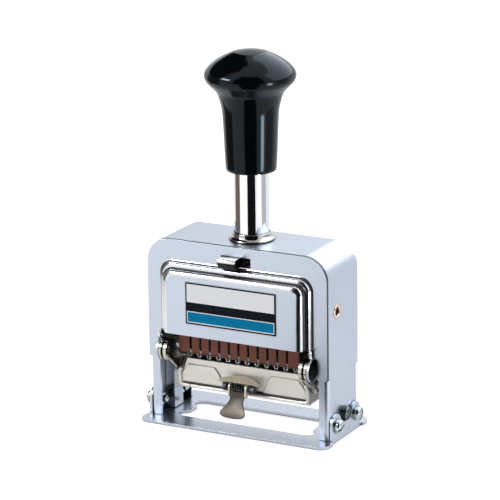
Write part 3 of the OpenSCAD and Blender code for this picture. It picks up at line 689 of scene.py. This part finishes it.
# the knob's outline from its foot up, as shares of its height and its radius
knob_shares = [(0, 0.553), (0.12, 0.573), (0.25, 0.587), (0.4, 0.604), (0.5, 0.623),
               (0.58, 0.669), (0.65, 0.738), (0.7, 0.854), (0.74, 0.955), (0.78, 1),
               (0.82, 0.984), (0.86, 0.905), (0.9, 0.784), (0.94, 0.611), (0.97, 0.44),
               (0.985, 0.318), (1, 0)]
knob_low, knob_high = box_mm("knob")
knob_radius = knob_high.x
knob_height = knob_high.z - knob_low.z
tube_radius = 7
foot_radius = knob_shares[0][1] * knob_radius
foot_round = 0.9
profile = [(tube_radius, knob_low.z + 0.8), (tube_radius + 0.3, knob_low.z + 0.2),
           (foot_radius - 0.7, knob_low.z), (foot_radius - 0.2, knob_low.z + 0.15),
           (foot_radius, knob_low.z + 0.5)]

# the curve runs on down the other side, so that it is level at the top
mirrored = [(height, -radius) for height, radius in reversed(knob_shares[:-1])]
for height, radius in smooth_line(knob_shares + mirrored, parts=8):
    if height * knob_height > foot_round and radius > 0.001:
        profile.append((radius * knob_radius, knob_low.z + height * knob_height))
    elif radius < -0.001:
        break
profile.append((0, knob_high.z))
bm = bmesh.new()
turned(bm, profile)
make_piece("turned_knob", bm, glossy_black(), "carriage", "black_knob", "knob", crease=60)


# Return spring: hard-drawn spring wire, wound on a mandrel and set loose in the tube.
spring_steel = plated("spring_steel", (0.32, 0.33, 0.36), 0.28, grain=0.002)
tube_plug_z = box_mm("tube_plug")[0].z
seat_z = box_mm("spring_bar")[1].z
coil_wire = 0.55
coil_radius = 4.4


def wound_wire(wire, begin, centre, axis, turns, steps, rise):
    """Winds round wire about an axis through a centre, from a place where it runs
    along Y, in so many steps a turn, to a rise along the axis."""
    bm = bmesh.new()
    section = Matrix.Translation(begin) @ Matrix.Rotation(math.pi / 2, 4, "X")
    ring = bmesh.ops.create_circle(bm, radius=wire, segments=8, matrix=section)["verts"]
    bmesh.ops.spin(bm, geom=ring + list({e for v in ring for e in v.link_edges}),
                   cent=centre, axis=axis, angle=2 * math.pi * turns,
                   dvec=Vector(axis) * rise / (turns * steps), steps=turns * steps)
    bmesh.ops.holes_fill(bm, edges=[e for e in bm.edges if e.is_boundary])
    bmesh.ops.recalc_face_normals(bm, faces=bm.faces)
    return bm


bm = wound_wire(coil_wire, begin=(coil_radius, 0, seat_z + coil_wire), centre=(0, 0, 0),
                axis=(0, 0, 1), turns=14, steps=20,
                rise=tube_plug_z - seat_z - 2 * coil_wire)
coil = make_piece("wound_return_spring", bm, spring_steel, "frame", "spring_steel",
                  "return_spring")
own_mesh(coil)


# Inner works: yoke, side plates, rods, feed pawls, nut and spring bar in plain
# milled steel, the shoes that run on the rails in bronze, and the brass rocker.
coat_nodes(plated("inner_steel", (0.42, 0.42, 0.44), 0.34, grain=0.004),
           "bush_nut", "spring_bar", "tube_plug", "carriage_yoke", "carriage_sides",
           "shaft_clips", "tie_rods", "feed_pawls")
coat_nodes(plated("shoe_bronze", (0.50, 0.36, 0.20), 0.32, grain=0.003), "guide_shoes")
coat_nodes(plated("carrier_brass", (0.62, 0.50, 0.24), 0.28, grain=0.002), "pawl_carrier")
coat_nodes(plated("ground_steel", (0.55, 0.55, 0.56), 0.20, grain=0.001),
           "wheel_shaft", "pawl_pin")


# Detent springs: twelve fingers in one comb of brown spring bronze. Each one
# presses on the front of its number wheel and is curled under at its tip.
coat_nodes(plated("brown_bronze", (0.15, 0.062, 0.048), 0.42, grain=0.003, cloud=0.1),
           "detent_springs")


# Number wheels: ten-sided steel wheels with a raised digit on each side, cut
# mirrored so that they print the right way round, each with its own ratchet.
type_steel = plated("type_steel", (0.30, 0.30, 0.31), 0.28, grain=0.003)
coat_nodes(plated("ratchet_steel", (0.24, 0.24, 0.25), 0.34, grain=0.002),
           *[f"ratchet_{count:02d}" for count in range(1, 13)])
wheel_low, wheel_high = box_mm("number_wheel_01")
wheel_width = wheel_high.x - wheel_low.x
wheel_radius = (wheel_high.y - wheel_low.y) / 2
shaft_height = (wheel_low.z + wheel_high.z) / 2
sides = 10
worn_radius = wheel_radius - 0.02
flat_radius = wheel_radius * math.cos(math.pi / sides)
digit_height = 4.6
digit_rise = 0.4
digit_root = 0.1
digit_narrowing = 0.8
height_of_type = 0.72

wheel_shape = bmesh.new()
on_shaft = Matrix.Rotation(math.pi / 2, 4, "Y") @ Matrix.Rotation(math.pi / sides, 4, "Z")
bmesh.ops.create_cone(wheel_shape, cap_ends=True, segments=sides, radius1=worn_radius,
                      radius2=worn_radius, depth=wheel_width, matrix=on_shaft)
round_edges(wheel_shape, wheel_shape.edges, radius=0.15)
for digit in range(sides):
    words = bpy.data.curves.new("digit", "FONT")
    words.body = str(digit)
    words.align_x = "CENTER"
    words.align_y = "CENTER"
    words.size = digit_height / height_of_type
    words.extrude = (digit_rise + digit_root) / 2
    words.resolution_u = 3
    text = bpy.data.objects.new("digit", words)
    digit_mesh = bpy.data.meshes.new_from_object(text)
    # a digit that faces down and keeps its left and right prints as it reads
    digit_mesh.transform(
        Matrix.Rotation(2 * math.pi * digit / sides, 4, "X")
        @ Matrix.Translation((0, 0, -flat_radius - (digit_rise - digit_root) / 2))
        @ Matrix.Diagonal((digit_narrowing, 1, -1, 1)))
    wheel_shape.from_mesh(digit_mesh)
    bpy.data.objects.remove(text)
    bpy.data.curves.remove(words)
    bpy.data.meshes.remove(digit_mesh)
bmesh.ops.recalc_face_normals(wheel_shape, faces=wheel_shape.faces)
for count in range(1, 13):
    node = f"number_wheel_{count:02d}"
    low, high = box_mm(node)
    bm = wheel_shape.copy()
    bmesh.ops.translate(bm, verts=bm.verts, vec=((low.x + high.x) / 2, 0, shaft_height))
    make_piece(f"type_wheel_{count:02d}", bm, type_steel, f"wheel_{count:02d}", "type_steel",
               node, crease=30)
wheel_shape.free()


# Screws and washers: zinc-plated pan heads with a straight slot on the lugs,
# black ones on the guide rails, and copper-washed stops high on the sides.
head_radius = 2.8
shank_radius = 1.5
slot_half = 0.42
slot_share = 0.55

# the rims of the heads, as shares of a head's radius and its height
domed_rim = ((0.93, 0.62), (1, 0.36), (1, 0.1), (0.96, 0))
grooved_rim = ((0.93, 0.74), (0.98, 0.66), (0.98, 0.56), (0.82, 0.5), (0.82, 0.44), (1, 0.38),
               (1, 0.28), (0.84, 0.22), (0.84, 0.16), (1, 0.1), (1, 0))


def add_screw(bm, place, height, slot_turn, rim, shank):
    """Adds a screw whose head stands on a place, its slot turned by some degrees, its
    shank a chain of (radius, height) below the head."""
    head = bmesh.new()
    chain = [(0, 1), (0.45, 0.96), (0.75, 0.84), *rim, (0, 0)]
    turned(head, [(out * head_radius, up * height) for out, up in chain], steps=48)
    faces = split_at(head, list(head.faces), (slot_half, 0, 0), (1, 0, 0))
    faces = split_at(head, faces, (-slot_half, 0, 0), (1, 0, 0))
    slot = [face for face in faces if face.normal.z > 0.05
            and abs(face.calc_center_median().x) < slot_half]
    slot_floor = bmesh.ops.extrude_face_region(head, geom=slot)["geom"]
    bmesh.ops.delete(head, geom=slot, context="FACES_ONLY")
    for part in slot_floor:
        if isinstance(part, bmesh.types.BMVert):
            part.co.z = height * (1 - slot_share)
    bmesh.ops.rotate(head, verts=head.verts, cent=(0, 0, 0),
                     matrix=Matrix.Rotation(math.radians(slot_turn), 3, "Z"))
    add_shape(bm, head, place)
    stem = bmesh.new()
    turned(stem, [(0, 0.1), (shank_radius, 0.1), *shank], steps=24)
    add_shape(bm, stem, place)


def towards_side(x, y, z, side):
    """The frame of a screw at a place, its axis pointing out to the right or left."""
    return Matrix.Translation((side * x, y, z)) @ Matrix.Rotation(side * math.pi / 2, 4, "Y")


zinc_plate = plated("zinc_plate", (0.52, 0.59, 0.59), 0.09, grain=0.006, cloud=0.1)
coat_nodes(zinc_plate, "base_washers")
screw_low, screw_high = box_mm("base_screws")
lug_face = box_mm("base_washers")[1].x
nut_height = 2
leg_inside = box_mm("guide_rails")[1].x
screw_y = screw_high.y - head_radius
screw_z = (screw_low.z + screw_high.z) / 2
bm = bmesh.new()
for side, y, slot_turn in ((1, -screw_y, 25), (1, screw_y, 70),
                           (-1, -screw_y, 110), (-1, screw_y, 10)):
    add_screw(bm, towards_side(lug_face, y, screw_z, side), screw_high.x - lug_face, slot_turn,
              rim=domed_rim, shank=[(shank_radius, -6.6), (1.1, -7), (0, -7)])
    nut = bmesh.new()
    bmesh.ops.create_cone(nut, cap_ends=True, segments=6, radius1=head_radius,
                          radius2=head_radius, depth=nut_height)
    round_edges(nut, nut.edges, radius=0.2)
    add_shape(bm, nut, towards_side(leg_inside - nut_height / 2, y, screw_z, side))
make_piece("pan_head_screws", bm, zinc_plate, "frame", "zinc_plate", "base_screws", crease=35)

black_oxide = plated("black_oxide", (0.13, 0.15, 0.15), 0.12, grain=0.004, crease=0.4)
rail_low, rail_high = box_mm("rail_screws")
leg_outside = box_mm("outer_frame")[1].x
bm = bmesh.new()
for side, slot_turn in ((1, 60), (-1, 35)):
    add_screw(bm, towards_side(leg_outside, 0, (rail_low.z + rail_high.z) / 2, side),
              rail_high.x - leg_outside, slot_turn,
              rim=grooved_rim, shank=[(shank_radius, -4), (0, -4.2)])
make_piece("rail_head_screws", bm, black_oxide, "frame", "blackened_steel", "rail_screws",
           crease=35)

copper_wash = plated("copper_wash", (0.80, 0.62, 0.50), 0.16, grain=0.003, crease=0.5)
stop_low, stop_high = box_mm("side_screws")
stop_radius = (stop_high.z - stop_low.z) / 2
stop_rise = stop_high.x - leg_outside
socket_depth = 0.7
socket_radius = 1.65
bm = bmesh.new()
for side in (1, -1):
    head = bmesh.new()
    turned(head, [(0, -socket_depth), (1.2, -socket_depth), (1.55, -0.3), (1.7, 0.05),
                  (1.95, stop_rise - 0.05), (2.25, stop_rise),
                  (stop_radius - 0.15, stop_rise - 0.1), (stop_radius, stop_rise - 0.25),
                  (stop_radius, 0), (shank_radius, 0), (shank_radius, -3), (1.1, -3.2),
                  (0, -3.2)], steps=48)
    for face in head.faces:
        middle = face.calc_center_median()
        in_socket = middle.xy.length < socket_radius and middle.z > -socket_depth - 0.1
        face.material_index = int(in_socket)
    add_shape(bm, head, towards_side(leg_outside, (stop_low.y + stop_high.y) / 2,
                                     (stop_low.z + stop_high.z) / 2, side))
stops = make_piece("side_stop_screws", bm, copper_wash, "frame", "copper_wash", "side_screws",
                   crease=35)
# the socket is painted dark brown: painted shade in its recess
stops.data.materials.append(plated("socket_shade", (0.05, 0.03, 0.025), 0.25, grain=0.004))


# Ink pad holder and arms: folded sheet with a warm nickel plating, the holder
# hung between two arms that swing it clear of the wheels on dark domed pivots.
# the holder's nickel is painted near-black inside its brackets: painted shade
bracket_shade = (("X", -6.3, 6.3, 0.3), ("Y", -15, -8.9, 0.4), ("Z", 15.2, 19.8, 0.3))
warm_nickel = plated("warm_nickel", (0.84, 0.805, 0.75), 0.46, grain=0.002, cloud=0.1,
                     metal=0.65, shade_boxes=bracket_shade)
coat_nodes(warm_nickel, "pad_frame")
coat_nodes(plated("arm_nickel", (0.60, 0.56, 0.50), 0.12, grain=0.001), "pad_arms")
dark_chrome = plated("dark_chrome", (0.008, 0.008, 0.008), 0.16, grain=0.001)
coat_nodes(dark_chrome, "pad_pivots")


def bent_bar(bm, path, radius, sides=20):
    """A round bar along a chain of points, square to it at each and domed at its ends."""
    path = [Vector(point) for point in path]
    stations = []
    for count, point in enumerate(path):
        ahead = path[min(count + 1, len(path) - 1)] - path[max(count - 1, 0)]
        stations.append((point, ahead.normalized(), radius))
    for end, sign in ((0, -1), (-1, 1)):
        point, ahead, full = stations[end]
        domes = [(point + sign * ahead * full * out, ahead, full * math.sqrt(1 - out * out))
                 for out in (0.5, 0.8, 0.97)]
        stations = domes[::-1] + stations if end == 0 else stations + domes
    ring = bmesh.ops.create_circle(bm, radius=1, segments=sides, cap_ends=True)["verts"]
    edges = list({edge for vert in ring for edge in vert.link_edges})
    for count, (point, ahead, size) in enumerate(stations):
        if count:
            grown = bmesh.ops.extrude_edge_only(bm, edges=edges)["geom"]
            edges = [part for part in grown if isinstance(part, bmesh.types.BMEdge)]
            ring = [part for part in grown if isinstance(part, bmesh.types.BMVert)]
        across = ahead.cross((0, 1, 0)).normalized()
        upward = across.cross(ahead)
        for step, vert in enumerate(ring):
            angle = 2 * math.pi * step / sides
            vert.co = point + size * (across * math.cos(angle) + upward * math.sin(angle))
    bmesh.ops.holes_fill(bm, edges=[edge for edge in bm.edges if edge.is_boundary])
    bmesh.ops.recalc_face_normals(bm, faces=bm.faces)


# a bead round each end of the holder's leaning front plate
bead_foot_y = -8.3
bead_foot_z = 14
bead_lean = 0.137
bead_line = ((25, bead_foot_z), (26.6, bead_foot_z), (27.7, 14.15), (28.4, 14.6),
             (28.75, 15.3), (28.85, 16.2), (28.85, 17.6), (28.85, 19.2), (28.6, 20.2),
             (28.1, 21))
bm = bmesh.new()
for side in (-1, 1):
    bent_bar(bm, [(side * x, bead_foot_y - bead_lean * (z - bead_foot_z), z)
                  for x, z in bead_line], radius=0.95)
make_piece("holder_end_beads", bm, warm_nickel, "pad", "cream_nickel")

# a near-black bar in the fold above the rolled edge: painted shade of the gap there
fold_y = -8.45
fold_z = 15.15
roll_fold_shade = plated("roll_fold_shade", (0.014, 0.009, 0.006), 0.5, metal=0)
bm = bmesh.new()
bent_bar(bm, [(x, fold_y, fold_z) for x in range(-27, 28, 3)], radius=0.6, sides=12)
make_piece("fold_line", bm, roll_fold_shade, "pad", "cream_nickel")

# the arms' front edges are turned into a bead, in a brighter nickel than the arms: a painted
# highlight along the edge
stud_y = -3.5
stud_z = 21
arm_half = 3.4
arm_middle = 30.1
lit_bead_nickel = plated("lit_bead_nickel", (0.84, 0.82, 0.78), 0.12)
down_arm = Vector((0, stud_y - pivot_y, stud_z - pivot_z)).normalized()
forward = down_arm.cross((1, 0, 0))
bm = bmesh.new()
for side in (-1, 1):
    upper = Vector((side * arm_middle, pivot_y, pivot_z)) + arm_half * forward
    lower = Vector((side * arm_middle, stud_y, stud_z)) + arm_half * forward
    bent_bar(bm, [upper.lerp(lower, step / 8) for step in range(9)], radius=0.6)
make_piece("arm_beads", bm, lit_bead_nickel, "arms", "cream_nickel")

# a near-black band round each knuckle of the arms: the painted shadow of a groove
groove_x = 31
groove_width = 0.95
knuckle_radius = 4.5
groove_in = knuckle_radius - 0.2
groove_out = knuckle_radius + 0.05
bm = bmesh.new()
for side in (-1, 1):
    ring = bmesh.new()
    turned(ring, [(groove_in, 0), (groove_out, 0), (groove_out, groove_width),
                  (groove_in, groove_width), (groove_in, 0)], steps=64)
    add_shape(bm, ring, towards_side(groove_x, pivot_y, pivot_z, side))
make_piece("knuckle_shadow_bands", bm, dark_chrome, "arms", "cream_nickel", crease=30)

# the curl that joins each ear of the front cover to the foot of its panel
curl_x = panel_half - 0.5
curl_line = ((-16.6, 38.5), (-16.7, 37.8), (-16.6, 37.1), (-16.3, 36.4), (-15.9, 35.8),
             (-15.5, 35.3))
bm = bmesh.new()
for side in (-1, 1):
    bent_bar(bm, [(side * curl_x, y, z) for y, z in curl_line], radius=0.6)
make_piece("ear_curls", bm, bright_chrome, "frame", "satin_chrome")


# Ink pad: a block of firm wool felt soaked in black ink, set in a zinc-plated
# tray, its upper side a little crowned and its edges worn round.
def inked_felt():
    material = bpy.data.materials.new("inked_felt")
    start = cleared(material)
    fibres = start.noise(2600, 6, (1, 3, 1))
    damp = start.noise(160, 3)
    relief = start.add("Bump", {}, {"Height": fibres, "Strength": 0.9, "Distance": 0.2 * MM})
    shader = start.add("BsdfPrincipled", {}, {
        "Base Color": damp.blend((0.008, 0.007, 0.014), (0.03, 0.026, 0.045)),
        "Roughness": damp * 0.3 + 0.55, "Normal": relief, "Sheen Weight": 0.2})
    start.add("OutputMaterial", {}, {"Surface": shader})
    return material


coat_nodes(zinc_plate, "pad_tray")
felt_low, felt_high = box_mm("ink_pad")
felt_size = felt_high - felt_low
felt_middle = (felt_low + felt_high) / 2
crown = 0.5
bm = bmesh.new()
bmesh.ops.create_cube(bm, size=1)
bmesh.ops.scale(bm, vec=felt_size, verts=bm.verts)
round_edges(bm, bm.edges, radius=0.9, segments=4)
long_edges = [e for e in bm.edges if e.calc_length() > felt_size.y / 2]
bmesh.ops.subdivide_edges(bm, edges=long_edges, cuts=15, use_grid_fill=True)
for vert in bm.verts:
    if vert.co.z > 0:
        across = 2 * vert.co.x / felt_size.x
        along = 2 * vert.co.y / felt_size.y
        vert.co.z -= crown * max(across ** 8, along ** 4)
bmesh.ops.translate(bm, verts=bm.verts, vec=felt_middle)
bmesh.ops.recalc_face_normals(bm, faces=bm.faces)
felt = make_piece("felt_pad", bm, inked_felt(), "pad", "ink_felt", "ink_pad", crease=60)


# Release clip: one strip of tan-plated sheet on a pin through the holder's
# bracket, with a half-moon lip above and a dished finger tab painted darker than the lip,
# darkest at its neck: painted shade.
clip_tan = plated("clip_tan", (0.74, 0.67, 0.52), 0.36, grain=0.003, cloud=0.1, metal=0.45)
# the tab below the pin takes a darker copy of the tan, darkening further up towards its neck:
# painted shade
shaded_tan = plated("shaded_tan", (0.20, 0.18, 0.152), 0.48, grain=0.006, cloud=0.16, metal=0.5,
                  shade_boxes=(("Z", 10, 30, 4),))
coat_nodes(plated("pin_steel", (0.09, 0.105, 0.13), 0.42), "clip_pin")
clip_sheet = 0.8
clip_y = -12.7
clip_z = 17.6
lip_foot = Vector((0, clip_y, clip_z + 1.8))
lip_end = Vector((0, -9.95, 21.4))
lip_half = 9.7
lip_length = (lip_end - lip_foot).length
lip_round = (lip_half ** 2 + lip_length ** 2) / (2 * lip_length)


def ribbon(bm, stations, columns=12):
    """A sheet through stations of (place, half width, hollow). Each row of it is the
    last one extruded, set to its width and hollowed along Y."""
    shares = [2 * step / columns - 1 for step in range(columns + 1)]
    row = [bm.verts.new((share, 0, 0)) for share in shares]
    edges = [bm.edges.new(pair) for pair in zip(row, row[1:])]
    for count, (place, half, hollow) in enumerate(stations):
        if count:
            grown = bmesh.ops.extrude_edge_only(bm, edges=edges)["geom"]
            edges = [part for part in grown if isinstance(part, bmesh.types.BMEdge)]
            row = [part for part in grown if isinstance(part, bmesh.types.BMVert)]
            row.sort(key=lambda vert: vert.co.x)
        for vert, share in zip(row, shares):
            vert.co = place + Vector((half * share, hollow * (1 - share ** 2), 0))


bm = bmesh.new()
lip_rows = []
for share in (0.995, 0.97, 0.92, 0.84, 0.72, 0.55, 0.35, 0.15, 0):
    climb = share * lip_length
    half = math.sqrt(lip_round ** 2 - (climb - lip_length + lip_round) ** 2)
    lip_rows.append((lip_foot.lerp(lip_end, share), half, -0.25 * (1 - share)))
ribbon(bm, lip_rows)
neck_top = Vector((0, clip_y - 0.7, clip_z - 1.5))
neck_foot = Vector((0, clip_y - 1.9, clip_z - 4.2))
tab_end = Vector((0, -20, 7))

# the finger tab: share of the way to its end, half width, hollow
tab_rows = ((0, 3.0, 0.35), (0.15, 3.15, 0.5), (0.35, 3.9, 0.7), (0.55, 4.9, 0.75),
            (0.7, 5.5, 0.7), (0.8, 5.6, 0.6), (0.88, 5.2, 0.45), (0.94, 4.3, 0.3),
            (0.98, 3.1, 0.15), (1, 1.4, 0))
ribbon(bm, [(neck_top, 3.7, 0), (neck_top.lerp(neck_foot, 0.35), 3.3, 0.1),
            *[(neck_foot.lerp(tab_end, share), half, hollow)
              for share, half, hollow in tab_rows]])
for face in bm.faces:
    below_pin = face.calc_center_median().z < clip_z
    face.material_index = int(below_pin)
bmesh.ops.recalc_face_normals(bm, faces=bm.faces)
backward = [face for face in bm.faces if face.normal.y > 0]
bmesh.ops.reverse_faces(bm, faces=backward)
strip = make_piece("tan_release_clip", bm, clip_tan, "clip", "clip_tan", "release_clip",
                   crease=50)
strip.data.materials.append(shaded_tan)
thicken(strip, clip_sheet, edge=0.2, segments=2)
strip.modifiers["sheet"].offset = 1

# the two ears that the clip turns on its pin with
clip_ear = 3.3
bm = bmesh.new()
for ear_x in (clip_ear, -clip_ear - clip_sheet):
    hulled_plate(bm, ear_x, ear_x + clip_sheet,
                 [(clip_y, clip_z, 2), (clip_y - 1, clip_z - 2.2, 1.2)])
round_edges(bm, [e for e in bm.edges if e.calc_face_angle(0) > 1], radius=0.15)
make_piece("clip_ears", bm, clip_tan, "clip", "clip_tan")


# Clip spring: a short coil of black spring wire round the clip's pin.
black_spring = plated("black_spring", (0.12, 0.12, 0.125), 0.20, grain=0.002)
clip_wire = 0.4
clip_coil_radius = 1.45
clip_coil_rise = 5.4
bm = wound_wire(clip_wire, begin=(-clip_coil_rise / 2, clip_y, clip_z + clip_coil_radius),
                centre=(0, clip_y, clip_z), axis=(1, 0, 0), turns=5, steps=24,
                rise=clip_coil_rise)
make_piece("wound_clip_spring", bm, black_spring, "clip", "spring_steel", "clip_spring")
